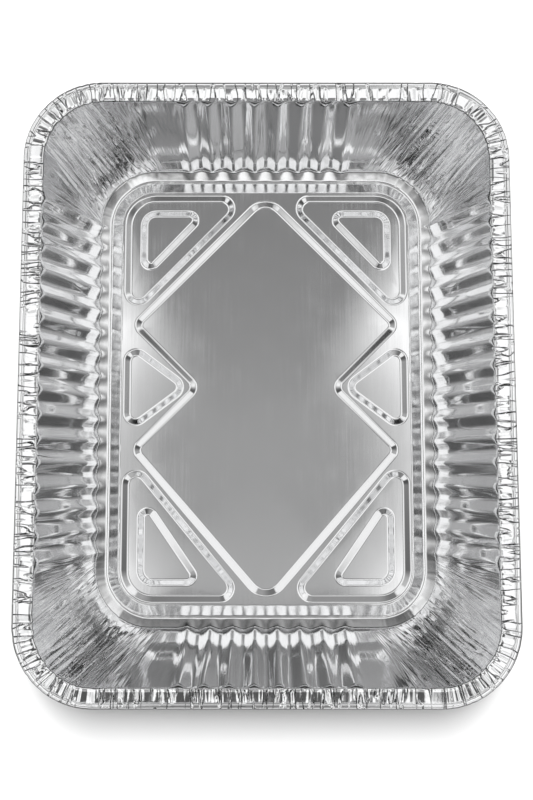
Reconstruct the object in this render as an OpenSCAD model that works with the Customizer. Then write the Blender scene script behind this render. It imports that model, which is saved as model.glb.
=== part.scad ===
// Foil roasting pan, pressed from one sheet: a fluted wall with gathered corners, a flange that
// ends in a rolled edge, a channel round the foot and recessed panels between ribs in the base.
// The origin is at the middle of the underside, +X is the width, +Y the length and +Z is up.

/* [Pan] */
// Height from the table to the top of the rolled edge
pan_h = 62; // [45:1:80]
// Width of the opening, between the tops of the walls
opening_w = 243.5; // [226:0.5:280]
// Length of the opening
opening_l = 313; // [296:0.5:350]
// Corner radius of the opening
opening_r = 32; // [26:0.5:44]
// Width of the base, at the foot of the walls
base_w = 199; // [186:0.5:212]
// Length of the base
base_l = 272.5; // [262:0.5:288]
// Corner radius of the base
base_r = 33; // [30:0.5:38]
// Thickness of the foil
foil_t = 0.12; // [0.08:0.01:0.3]

/* [Rim] */
// Width of the flat flange, from the wall to the rolled edge
flange_w = 7.4; // [5:0.1:12]
// Diameter of the rolled edge
bead_d = 3.6; // [2.6:0.1:6]
// Height of the rolled edge above the flange
bead_rise = 0.6; // [0.3:0.05:1]
// Height of the crimps pressed in the flange at the corners
crimp_h = 0.5; // [0:0.05:0.8]

/* [Flutes] */
// Distance from one flute to the next
flute_pitch = 13; // [9:0.1:18]
// Depth of a flute, from ridge to hollow
flute_depth = 2.2; // [0.4:0.1:3]
// Share of a flute that its flat hollow takes up
hollow_share = 0.22; // [0.15:0.01:0.6]
// Share of a flute that its flat ridge takes up
ridge_share = 0.14; // [0.1:0.01:0.35]
// Plain wall between the last flute and the corner, on the short sides
plain_w = 19; // [12:0.5:30]
// Height of the rounded lower ends of the flutes
flute_foot_h = 7; // [4:0.5:12]
// Height over which the flutes run out below the flange
flute_fade_h = 6; // [3:0.5:12]

/* [Corner gathers] */
// Number of gathers round each corner
gathers = 12; // [6:1:12]
// Depth of a gather, from ridge to hollow
gather_depth = 0.9; // [0:0.1:1.4]

/* [Foot] */
// Height of the foot of the wall above the table
foot_h = 3.2; // [2:0.1:6]
// Width of the slope from the foot of the wall down to the channel
foot_w = 5.8; // [4:0.1:7]
// Width of the slope from the channel up to the ribs
rise_w = 7; // [5:0.1:8]
// Height of the ribs between the panels, above the channel and the panel floors
rib_h = 2.2; // [1:0.1:3.5]
// Width of the flat rib between the rise and the panels
rib_w = 0.9; // [0.6:0.1:2]

/* [Base panels] */
// Width of the bevel round each panel
bevel_w = 4.6; // [3:0.1:5.5]
// Width of the floor between a corner panel's bevel and its raised centre
floor_w = 4.9; // [3:0.1:6]
// Radius of the two pointed ends of a corner panel
corner_panel_r = 9; // [7:0.5:11]
// Distance of the corner panels' inner ends from the middle of the pan
corner_panel_x = 18; // [14:0.5:24]
// Distance of the corner panels' side ends from the middle of the side panels
corner_panel_y = 49; // [44:0.5:56]
// Radius of the pointed ends of a corner panel's raised centre
centre_r = 6.5; // [5.5:0.5:8]
// Distance of the raised centre's ends from the ends of its corner panel
centre_gap = 22; // [18:0.5:26]
// Length of a side panel, along its side of the pan
side_panel_l = 47; // [36:1:56]
// Radius of the corners of a side panel
side_panel_r = 8; // [6:0.5:10]
// Reach of a side panel from the outer line of the corner panels towards the middle
side_panel_reach = 37; // [28:1:40]
// Distance of a side panel inside the outer line of the corner panels
side_panel_in = 0.3; // [0.1:0.1:1.5]
// Distance between the two points of the middle panel on each side
waist_l = 75; // [70:1:82]
// Distance across the middle panel's side points
middle_w = 158; // [150:1:164]
// Distance of the middle panel's far and near ends from the middle of the pan
middle_reach = 119; // [112:0.5:120]
// Radius of the middle panel's far and near ends
middle_end_r = 14; // [10:0.5:18]
// Radius of the middle panel's side points
middle_side_r = 7.5; // [6:0.5:10]
// How far the side flutes, side panels and side points sit towards the far end
side_shift = 4.5; // [0:0.5:5]

/* [Hidden] */

// The rolled edge is drawn in steps from its first angle above the flange to its end below it
BEAD_FIRST = 120;
BEAD_STEP = 30;
BEAD_END = -150;
BEAD_MIN_STEP = 5;

// The gathers differ in depth by a turning wave, which starts elsewhere at each corner
GATHER_MEAN = 0.75;
GATHER_SPREAD = 0.25;
GATHER_TURN = 137.5;
CORNER_TURN = 71;

// Shares of the full depth that the flutes keep at the foot, and the gathers at the foot, at the
// rim and beside the corners, where the plain wall is drawn in a few steps
FOOT_FLUTE = 0.85;
FOOT_GATHER = 0.5;
RIM_GATHER = 0.5;
BESIDE_GATHER = 0.5;
PLAIN_STEPS = 3;

// Shares of the rib's width that the wall's strip and the base's slab reach, so that they overlap
STRIP_REACH = 0.7;
SLAB_REACH = 0.65;

// Smallest radius of a crease, and the facets of a large corner, a panel's end and a side point
MIN_R = 0.4;
CORNER_FN = 32;
END_FN = 16;
SIDE_FN = 20;

// How far a cutting shape runs past the face that it opens to
OVER = 1;
EPS = 0.01;

// The stretches that each side is walked along
ALONG = 0;
TO_CORNER = 1;
ARC = 2;
FROM_CORNER = 3;

flange_z = pan_h - bead_rise;
rib_z = rib_h + foil_t;
rib_inset = foot_w + rise_w;
panel_inset = rib_inset + rib_w;
arc_steps = 2 * gathers;

// Half sizes and corner radius of the panels' outer line, shared by all panels in the base
panel_hw = base_w / 2 - panel_inset;
panel_hl = base_l / 2 - panel_inset;
panel_r = base_r - panel_inset;

// Flutes that fit on the straight part of side k, and where the first one starts and the last ends
function flat_l(k) = (k % 2 == 0 ? base_l : base_w) - 2 * base_r;
function flute_room(k) = flat_l(k) - 2 * (k % 2 == 0 ? side_shift : plain_w);
function flute_count(k) = floor(flute_room(k) / flute_pitch);
function flute_mid(k) = k == 0 ? side_shift : k == 2 ? -side_shift : 0;
function flute_start(k) = flute_mid(k) - flute_count(k) * flute_pitch / 2;
function flute_end(k) = flute_mid(k) + flute_count(k) * flute_pitch / 2;

// Each gather has a depth of its own, between half and all of the full depth
function gather_size(k, i) = GATHER_MEAN + GATHER_SPREAD * sin(GATHER_TURN * i + CORNER_TURN * k);
function gather_side(i) = i % 2 == 0 ? 1 : -1;

// Places in one flute where its flat hollow and its flat ridges end, each [share, wave]
flute_marks = [
    [ridge_share / 2, -1],
    [(1 - hollow_share) / 2, 1],
    [(1 + hollow_share) / 2, 1],
    [1 - ridge_share / 2, -1]
];

// Stations round the pan, each [side, stretch, place on it, flute wave, gather wave]
function flute_stations(k) = concat(
    [[k, ALONG, flute_start(k), -1, 0]],
    [for (i = [0 : flute_count(k) - 1], mark = flute_marks)
        [k, ALONG, flute_start(k) + (i + mark[0]) * flute_pitch, mark[1], 0]],
    [[k, ALONG, flute_end(k), -1, 0]]
);
function arc_stations(k) = [
    for (i = [0 : arc_steps])
        [k, ARC, i / arc_steps, 0, gather_side(i) * gather_size(k, i)]
];
function side_stations(k) = concat(
    flute_stations(k),
    [for (i = [1 : PLAIN_STEPS - 1])
        [k, TO_CORNER, i / PLAIN_STEPS, 0, k % 2 == 0 ? -gather_side(i) * BESIDE_GATHER : 0]],
    arc_stations(k),
    [for (i = [1 : PLAIN_STEPS - 1])
        [k, FROM_CORNER, i / PLAIN_STEPS, 0, k % 2 == 1 ? gather_side(i) * BESIDE_GATHER : 0]]
);
stations = [for (k = [0 : 3]) each side_stations(k)];

// The foot keeps one station per flute, the flange those of the corners, the edge every second one
function on_arc(st) = st[1] == ARC && round(st[2] * arc_steps) % 2 == 0;
function flute_phase(st) = ((st[2] - flute_start(st[0])) / flute_pitch) % 1;
function at_flute(st) = st[1] == ALONG && abs(flute_phase(st) - ridge_share / 2) < EPS;
function at_flute_end(st) =
    st[1] == ALONG && (abs(st[2] - flute_start(st[0])) < EPS || abs(st[2] - flute_end(st[0])) < EPS);
all_picks = [for (i = [0 : len(stations) - 1]) i];
foot_picks = [
    for (i = all_picks) if (on_arc(stations[i]) || at_flute(stations[i]) || at_flute_end(stations[i])) i
];
crimp_picks = [for (i = all_picks) if (stations[i][1] != ALONG || at_flute_end(stations[i])) i];
edge_picks = [for (i = all_picks) if (on_arc(stations[i]) || at_flute_end(stations[i])) i];

// A ring is [half width, half length, corner radius, height, flute, gather and crimp size]
function across(ring, k) = k % 2 == 0 ? ring[0] : ring[1];
function along(ring, k) = k % 2 == 0 ? ring[1] : ring[0];
function turned(p, k) =
    k % 4 == 0 ? p : k % 4 == 1 ? [-p[1], p[0]] : k % 4 == 2 ? [-p[0], -p[1]] : [p[1], -p[0]];
function straight_end(ring, k) = along(ring, k) - ring[2];
function between(a, b, f) = a + (b - a) * f;

function station_xy(ring, st, d) =
    let (k = st[0], f = st[2], r = ring[2])
    st[1] == ALONG ? turned([across(ring, k) + d, f], k)
    : st[1] == TO_CORNER
        ? turned([across(ring, k) + d, between(flute_end(k), straight_end(ring, k), f)], k)
    : st[1] == ARC
        ? turned([across(ring, k) - r + (r + d) * cos(90 * f),
                  straight_end(ring, k) + (r + d) * sin(90 * f)], k)
    : turned([across(ring, k + 1) + d,
              between(-straight_end(ring, k + 1), flute_start((k + 1) % 4), f)], k + 1);

function station_point(ring, st) =
    let (xy = station_xy(ring, st, st[3] * ring[4] + st[4] * ring[5]))
    [xy[0], xy[1], ring[3] + st[4] * ring[6]];

function ring_points(ring, picks) = [for (i = picks) station_point(ring, stations[i])];

// Rings of the upper face, from the rib inside the foot out to the end of the rolled edge
function base_ring(inset, z, flute, gather) =
    [base_w / 2 - inset, base_l / 2 - inset, base_r - inset, z, flute, gather, 0];
function rim_ring(out, z, gather, crimp) =
    [opening_w / 2 + out, opening_l / 2 + out, opening_r + out, z, 0, gather, crimp];
function wall_ring(z, flute, gather) =
    let (f = (z - foot_h) / (flange_z - foot_h))
    [between(base_w, opening_w, f) / 2, between(base_l, opening_l, f) / 2,
     between(base_r, opening_r, f), z, flute, gather, 0];

bead_r = bead_d / 2;
bead_out = flange_w + bead_r;
bead_z = pan_h - bead_r;
bead_start = 180 - asin((flange_z - bead_z) / bead_r);
bead_angles = concat(
    [bead_start],
    [for (a = [BEAD_FIRST : -BEAD_STEP : BEAD_END]) if (a < bead_start - BEAD_MIN_STEP) a]
);
flute_a = flute_depth / 2;
gather_a = gather_depth / 2;

foot_rings = [
    base_ring(rib_inset + rib_w * STRIP_REACH, rib_z, 0, 0),
    base_ring(rib_inset, rib_z, 0, 0),
    base_ring(foot_w, foil_t, 0, 0)
];
wall_rings = [
    base_ring(0, foot_h, flute_a * FOOT_FLUTE, gather_a * FOOT_GATHER),
    wall_ring(foot_h + flute_foot_h, flute_a, gather_a),
    wall_ring(flange_z - flute_fade_h, flute_a, gather_a),
    rim_ring(0, flange_z, gather_a * RIM_GATHER, 0)
];
crimp_rings = [rim_ring(flange_w / 2, flange_z, 0, crimp_h / 2)];
bead_rings = [
    for (a = bead_angles) rim_ring(bead_out + bead_r * cos(a), bead_z + bead_r * sin(a), 0, 0)
];
upper_rings = concat(foot_rings, wall_rings, crimp_rings, bead_rings);
ring_picks = concat(
    [for (ring = foot_rings) foot_picks],
    [for (ring = wall_rings) all_picks],
    [for (ring = crimp_rings) crimp_picks],
    [for (ring = bead_rings) edge_picks]
);
last_ring = len(upper_rings) - 1;

// The under face lies one foil thickness below and outside the upper one, mitred at each bend
function unit(v) = v / norm(v);
function right_of(v) = [v[1], -v[0]];
function section(i) = [upper_rings[i][0], upper_rings[i][3]];
function section_normal(i) = right_of(unit(section(i + 1) - section(i)));
function miter(i) =
    let (a = section_normal(max(i - 1, 0)), b = section_normal(min(i, last_ring - 1)))
    foil_t * (a + b) / (1 + a * b);
function under_ring(i) =
    let (g = upper_rings[i], m = miter(i))
    [g[0] + m[0], g[1] + m[0], g[2] + m[0], max(g[3] + m[1], 0), g[4], g[5], g[6]];

upper_points = [for (i = [0 : last_ring]) ring_points(upper_rings[i], ring_picks[i])];
under_points = [for (i = [0 : last_ring]) ring_points(under_ring(i), ring_picks[i])];

// First point of each ring in the joined list of points
function points_before(i) = i == 0 ? 0 : points_before(i - 1) + len(ring_picks[i - 1]);
face_points = points_before(last_ring + 1);

function facing(tri, up) = up ? [tri[2], tri[1], tri[0]] : tri;

// Two rings with the same stations are joined by pairs of triangles
function even_band(a, b, n, up) = [
    for (i = [0 : n - 1])
        let (j = (i + 1) % n)
        each [facing([a + i, b + i, b + j], up), facing([a + i, b + j, a + j], up)]
];

// A ring is joined to one that keeps only some of its stations
function uneven_band(fine, fine_picks, coarse, coarse_picks, up) =
    let (
        n = len(fine_picks),
        m = len(coarse_picks),
        places = [for (pick = coarse_picks) search(pick, fine_picks)[0]]
    )
    [
        for (j = [0 : m - 1])
            let (
                from = places[j],
                to = j + 1 < m ? places[j + 1] : places[0] + n,
                mid = floor((from + to) / 2),
                next = coarse + (j + 1) % m
            )
            each concat(
                [for (i = [from : 1 : to - 1])
                    facing([fine + i % n, fine + (i + 1) % n, i < mid ? coarse + j : next], up)],
                [facing([coarse + j, fine + mid % n, next], up)]
            )
    ];

function band(i, first, up) =
    let (
        a = first + points_before(i),
        b = first + points_before(i + 1),
        pa = ring_picks[i],
        pb = ring_picks[i + 1]
    )
    len(pa) == len(pb) ? even_band(a, b, len(pa), up)
    : len(pa) < len(pb) ? uneven_band(b, pb, a, pa, up)
    : uneven_band(a, pa, b, pb, !up);

shell_faces = concat(
    [for (i = [0 : last_ring - 1]) each band(i, 0, true)],
    [for (i = [0 : last_ring - 1]) each band(i, face_points, false)],
    even_band(0, face_points, len(foot_picks), false),
    even_band(points_before(last_ring), face_points + points_before(last_ring), len(edge_picks), true)
);

// Foot, wall, flange and rolled edge, as one closed skin of foil
module wall_and_rim() {
    polyhedron(
        points = concat([for (p = upper_points) each p], [for (p = under_points) each p]),
        faces = shell_faces,
        convexity = 10
    );
}

// A round of the given radius, no smaller than a crease
module round_at(p, r, fn) {
    translate(p) circle(r = max(r, MIN_R), $fn = fn);
}

// Outline of a corner panel, drawn in by inset, with its ends at end_x and end_y
module corner_outline(inset, end_r, end_x, end_y) {
    tip = end_r - inset;
    hull() {
        round_at([panel_hw - panel_r, panel_hl - panel_r], panel_r - inset, CORNER_FN);
        round_at([end_x + end_r, panel_hl - inset - max(tip, MIN_R)], tip, END_FN);
        round_at([panel_hw - inset - max(tip, MIN_R), end_y + end_r], tip, END_FN);
    }
}

// A pressed shape between two heights, with its wider outline on the side it opens to
module recess() {
    hull() {
        translate([0, 0, rib_z]) linear_extrude(OVER) children(0);
        translate([0, 0, foil_t]) linear_extrude(EPS) children(1);
    }
}

module raised() {
    hull() {
        translate([0, 0, foil_t - OVER]) linear_extrude(OVER) children(0);
        translate([0, 0, rib_z - EPS]) linear_extrude(EPS) children(1);
    }
}

// One of the four corner panels; shift is how far its side end lies from the middle of the pan
module corner_recess(shift) {
    end_y = shift + corner_panel_y;
    recess() {
        corner_outline(0, corner_panel_r, corner_panel_x, end_y);
        corner_outline(bevel_w, corner_panel_r, corner_panel_x, end_y);
    }
}

module centre_outline(inset, shift) {
    edge = bevel_w + floor_w;
    tip = centre_r - inset;
    hull() {
        round_at([panel_hw - panel_r, panel_hl - panel_r], panel_r - edge - inset, CORNER_FN);
        round_at([corner_panel_x + centre_gap + centre_r,
                  panel_hl - edge - inset - max(tip, MIN_R)], tip, END_FN);
        round_at([panel_hw - edge - inset - max(tip, MIN_R),
                  shift + corner_panel_y + centre_gap + centre_r], tip, END_FN);
    }
}

module raised_centre(shift) {
    raised() {
        centre_outline(0, shift);
        centre_outline(bevel_w, shift);
    }
}

module side_outline(inset) {
    hull() {
        for (end = [-1, 1])
            round_at([panel_hw - side_panel_in - side_panel_r,
                      side_shift + end * (side_panel_l / 2 - side_panel_r)], side_panel_r - inset, SIDE_FN);
        round_at([panel_hw - side_panel_reach + side_panel_r, side_shift], side_panel_r - inset, SIDE_FN);
    }
}

// Half of the middle panel, running from its side points to one end
module middle_outline(inset, end) {
    side_y = side_shift + end * waist_l / 2;
    side_x = middle_w / 2 - middle_side_r;
    hull() {
        round_at([0, end * (middle_reach - middle_end_r)], middle_end_r - inset, CORNER_FN);
        for (side = [-1, 1]) round_at([side * side_x, side_y], middle_side_r - inset, SIDE_FN);
        round_at([0, side_y - end * side_x], middle_side_r - inset, SIDE_FN);
    }
}

module at_four_corners() {
    for (side = [0, 1], end = [0, 1])
        mirror([side, 0, 0]) mirror([0, end, 0]) children(end);
}

// Everything below the upper face of the base, inside the rise from the channel
module base_form(margin) {
    difference() {
        translate([0, 0, -OVER]) linear_extrude(OVER + rib_z)
            hull()
                for (x = [-1, 1], y = [-1, 1])
                    round_at([x * (panel_hw - panel_r), y * (panel_hl - panel_r)],
                             panel_r + rib_w * SLAB_REACH + margin, CORNER_FN);
        at_four_corners() {
            corner_recess(side_shift);
            corner_recess(-side_shift);
        }
        for (side = [0, 1])
            mirror([side, 0, 0]) recess() {
                side_outline(0);
                side_outline(bevel_w);
            }
        for (end = [-1, 1])
            recess() {
                middle_outline(0, end);
                middle_outline(bevel_w, end);
            }
    }
    at_four_corners() {
        raised_centre(side_shift);
        raised_centre(-side_shift);
    }
}

// The embossed middle of the base: the upper face less the same form one foil thickness lower
module base_sheet() {
    difference() {
        base_form(0);
        translate([0, 0, -foil_t]) base_form(OVER);
    }
}

module roasting_pan() {
    color("#c9ccd0") union() {
        wall_and_rim();
        base_sheet();
    }
}

roasting_pan();
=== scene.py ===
"""Foil roasting pan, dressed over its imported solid.

The pan is one sheet of foil. It is lofted ring by ring from the rib inside its foot out to the
rolled edge, its base is filled and pressed into panels, and the sheet is then given its thickness.
All building is done in millimetres in the row frame, and the finished mesh is scaled to metres.
"""

import logging
import math
import random
from dataclasses import astuple, dataclass, field, replace
from enum import Enum, IntEnum
from itertools import accumulate
from typing import Iterable, Mapping, NamedTuple, Sequence, Union

import bmesh
import bpy
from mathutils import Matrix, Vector, noise


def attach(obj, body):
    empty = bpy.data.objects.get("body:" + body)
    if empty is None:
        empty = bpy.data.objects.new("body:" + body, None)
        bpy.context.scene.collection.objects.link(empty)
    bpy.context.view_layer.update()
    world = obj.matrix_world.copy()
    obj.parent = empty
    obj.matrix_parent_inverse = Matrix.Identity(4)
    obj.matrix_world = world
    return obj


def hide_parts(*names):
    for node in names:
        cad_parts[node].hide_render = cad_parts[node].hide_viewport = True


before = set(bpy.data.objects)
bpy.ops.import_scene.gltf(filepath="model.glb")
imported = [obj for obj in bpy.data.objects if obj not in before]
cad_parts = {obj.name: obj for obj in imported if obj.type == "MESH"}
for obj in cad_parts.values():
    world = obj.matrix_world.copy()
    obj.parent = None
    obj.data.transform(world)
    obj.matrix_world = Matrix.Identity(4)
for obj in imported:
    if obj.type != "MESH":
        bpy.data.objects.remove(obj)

logging.basicConfig(level=logging.INFO, format="%(message)s")
log = logging.getLogger("roasting_pan")

Mesh, Vert, Edge, Face = (bmesh.types.BMesh, bmesh.types.BMVert, bmesh.types.BMEdge, bmesh.types.BMFace)
Span = tuple[float, float]
Colour = tuple[float, ...]
Line = tuple[Vector, Vector]

MM = 0.001
TINY = 1e-5
QUARTER = 90.0


class Stretch(Enum):
    """The stretches that each side of the pan is walked along, in order."""

    FLUTES = "flutes"
    TO_CORNER = "to corner"
    ARC = "arc"
    FROM_CORNER = "from corner"


def smooth(value: float, low: float, high: float) -> float:
    """Ease from 0 at low to 1 at high.

    Args:
        value: The value to ease.
        low: Where the result leaves 0; may be above high to ease downwards.
        high: Where the result reaches 1.

    Returns:
        A number from 0 to 1.
    """
    t = min(max((value - low) / (high - low), 0.0), 1.0)
    return t * t * (3 - 2 * t)


def between(start: float, end: float, share: float) -> float:
    """Return the number that lies share of the way from start to end."""
    return start + (end - start) * share


def grey(level: float) -> Colour:
    """Return a grey of a brightness."""
    return level, level, level, 1.0


def only(kind: type, geom: Iterable[object]) -> list:
    """Return the items of one kind out of an operator's result."""
    return [item for item in geom if isinstance(item, kind)]


def put_in_scene(name: str, data: bpy.types.ID) -> bpy.types.Object:
    """Make an object of some data, at the origin, and return it."""
    made = bpy.data.objects.new(name, data)
    bpy.context.scene.collection.objects.link(made)
    return made


def finished(name: str, bm: Mesh) -> bpy.types.Object:
    """Make an object of a mesh that has been built, and return it."""
    mesh = bpy.data.meshes.new(name)
    bm.to_mesh(mesh)
    bm.free()
    return put_in_scene(name, mesh)


@dataclass(frozen=True)
class PanSizes:
    """Driving sizes of the pan in millimetres, the same as the solid's."""

    height: float = 62.0
    opening_w: float = 243.5
    opening_l: float = 313.0
    opening_r: float = 32.0
    base_w: float = 199.0
    base_l: float = 272.5
    base_r: float = 33.0
    foil: float = 0.12
    flange_w: float = 7.4
    bead_d: float = 3.6
    bead_rise: float = 0.6
    flute_pitch: float = 13.0
    flute_depth: float = 2.2
    plain_w: float = 19.0
    side_shift: float = 4.5
    foot_h: float = 3.2
    foot_w: float = 5.8
    rise_w: float = 7.0
    rib_h: float = 2.2
    rib_w: float = 0.9
    bevel_w: float = 4.6
    floor_w: float = 4.9

    @property
    def flange_z(self) -> float:
        """Height of the flange."""
        return self.height - self.bead_rise

    @property
    def rib_z(self) -> float:
        """Height of the ribs' upper face."""
        return self.rib_h + self.foil

    @property
    def panel_inset(self) -> float:
        """Distance from the foot of the wall to the panels' outer line."""
        return self.foot_w + self.rise_w + self.rib_w


@dataclass(frozen=True)
class Ring:
    """One closed line round the pan: a rounded rectangle at a height, and how far foil waves there."""

    half_w: float
    half_l: float
    radius: float
    z: float
    flute: float = 0.0
    gather: float = 0.0
    crimp: float = 0.0
    bead: float = 0.0
    crinkle: float = 0.0
    dull: float = 0.0

    def across(self, side: int) -> float:
        """Half size towards the given side."""
        return self.half_w if side % 2 == 0 else self.half_l

    def straight_end(self, side: int) -> float:
        """Where the straight part of the given side ends and its corner begins."""
        return self.across(side + 1) - self.radius

    def but(self, **changes: float) -> "Ring":
        """Return the same line with some of its values changed."""
        return replace(self, **changes)

    def towards(self, other: "Ring", share: float) -> "Ring":
        """Return the line that lies share of the way to another."""
        return Ring(*(between(*pair, share) for pair in zip(astuple(self), astuple(other))))

    def rounded(self, before: "Ring", after: "Ring", size: float, steps: int) -> list["Ring"]:
        """Round the fold that the foil has at this line.

        Args:
            before: The line on the inner side of the fold.
            after: The line on the outer side.
            size: How far from the fold the round starts and ends.
            steps: Number of strips in the round.

        Returns:
            The lines of the round, on a parabola that meets both slopes.
        """
        ends = []
        for other in (before, after):
            reach = math.hypot(other.half_w - self.half_w, other.z - self.z)
            ends.append(self.towards(other, min(size / reach, 0.5)))
        first, last = ends
        return [first.towards(self, i / steps).towards(self.towards(last, i / steps), i / steps)
                for i in range(steps + 1)]


@dataclass(frozen=True)
class Crease:
    """One sharp fold in the foil: a gather up the wall near a corner, or a crimp across the flange."""

    place: float
    lean: float
    width: float
    depth: float
    low: float
    high: float
    ease: float = 0.12
    peak: float = 1.3

    def reaches(self, place: float, spare: float = 0.0) -> bool:
        """Say whether the fold comes near a place along its row."""
        return abs(place - self.place) < self.width + abs(self.lean) + spare

    def height_at(self, place: float, rise: float) -> float:
        """Return how far the fold stands out.

        Args:
            place: The place along the fold's row.
            rise: The share of the way up the wall, or out over the flange.

        Returns:
            The height as a share of the row's depth, below 0 for a fold inwards.
        """
        gap = abs(place - self.place - self.lean * (rise - 0.5)) / self.width
        if gap >= 1.0:
            return 0.0
        ends = smooth(rise, self.low - self.ease, self.low) * smooth(rise, self.high + self.ease, self.high)
        return self.depth * (1.0 - gap) ** self.peak * ends


@dataclass(frozen=True)
class Station:
    """One place round the pan that every ring passes, with the creases that come near it."""

    side: int
    stretch: Stretch
    share: float
    corner: int
    corner_u: float
    flute: float = 0.0
    flute_no: int = -1
    round_x: float = 0.0
    round_y: float = 0.0
    folds: tuple[Crease, ...] = ()
    crimps: tuple[Crease, ...] = ()

    @property
    def along_side(self) -> int:
        """The side whose straight part this station lies on or next to."""
        return (self.side + 1) % 4 if self.stretch is Stretch.FROM_CORNER else self.side

    def fold_height(self, rise: float) -> float:
        """Return the joint height of the nearby folds at a share of the wall's rise."""
        return sum(fold.height_at(self.corner_u, rise) for fold in self.folds)


@dataclass
class Gathers:
    """The folds of the four corners. Places and widths are in shares of a corner's arc."""

    seed: int = 11
    per_corner: int = 46
    reach: float = 0.22
    full_within: float = 0.4
    jitter: Span = (0.1, 0.9)
    widths: Span = (0.016, 0.040)
    depths: Span = (0.3, 1.0)
    lean: float = 0.08
    late_starts: Span = (0.1, 0.7)
    early_ends: Span = (0.5, 1.0)
    shortest: float = 0.3
    folds: list[list[Crease]] = field(init=False)

    def __post_init__(self) -> None:
        """Draw the folds of every corner."""
        chance = random.Random(self.seed)
        self.folds = [self._corner(chance) for _ in range(4)]

    def _corner(self, chance: random.Random) -> list[Crease]:
        """Draw one corner's folds, alternately out and in, with uneven gaps.

        Args:
            chance: The seeded source of the unevenness.

        Returns:
            The folds, spread over the corner and shallower beside it.
        """
        folds = []
        span = 1.0 + 2 * self.reach
        for i in range(self.per_corner):
            place = -self.reach + span * (i + chance.uniform(*self.jitter)) / self.per_corner
            beside = smooth(abs(place - 0.5), 0.5 + self.reach, self.full_within)
            low = chance.choice([0.0, chance.uniform(*self.late_starts)])
            high = chance.choice([1.0, 1.0, chance.uniform(*self.early_ends)])
            folds.append(Crease(
                place=place,
                lean=chance.uniform(-self.lean, self.lean),
                width=chance.uniform(*self.widths),
                depth=(-1) ** i * chance.uniform(*self.depths) * beside,
                low=low,
                high=max(high, low + self.shortest),
            ))
        return folds

    def near(self, station: Station) -> tuple[Crease, ...]:
        """Return the folds that come near a station."""
        return tuple(fold for fold in self.folds[station.corner] if fold.reaches(station.corner_u))


@dataclass(frozen=True)
class Crimps:
    """The small creases across the flange. Places are in millimetres, starts in shares of its width."""

    spacing: Span = (2.0, 5.4)
    slant: float = 2.2
    widths: Span = (0.7, 1.0)
    signs: tuple[float, ...] = (-1, -1, -1, 0.6)
    depths: Span = (0.7, 1.6)
    late_starts: Span = (0.0, 0.5)
    lengths: Span = (0.4, 1.2)
    furthest: float = 1.2
    ease: float = 0.2

    def row(self, chance: random.Random, half: float) -> list[Crease]:
        """Draw the crimps along one side.

        Args:
            chance: The seeded source of the unevenness.
            half: Half the length of the row.

        Returns:
            The crimps in order.
        """
        row, place = [], -half
        while place < half:
            low = chance.choice([0.0, 0.0, chance.uniform(*self.late_starts)])
            row.append(Crease(
                place=place,
                lean=chance.uniform(-self.slant, self.slant),
                width=chance.uniform(*self.widths),
                depth=chance.choice(self.signs) * chance.uniform(*self.depths),
                low=low,
                high=min(self.furthest, low + chance.uniform(*self.lengths)),
                ease=self.ease,
                peak=1.0,
            ))
            place += chance.uniform(*self.spacing)
        return row


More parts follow.
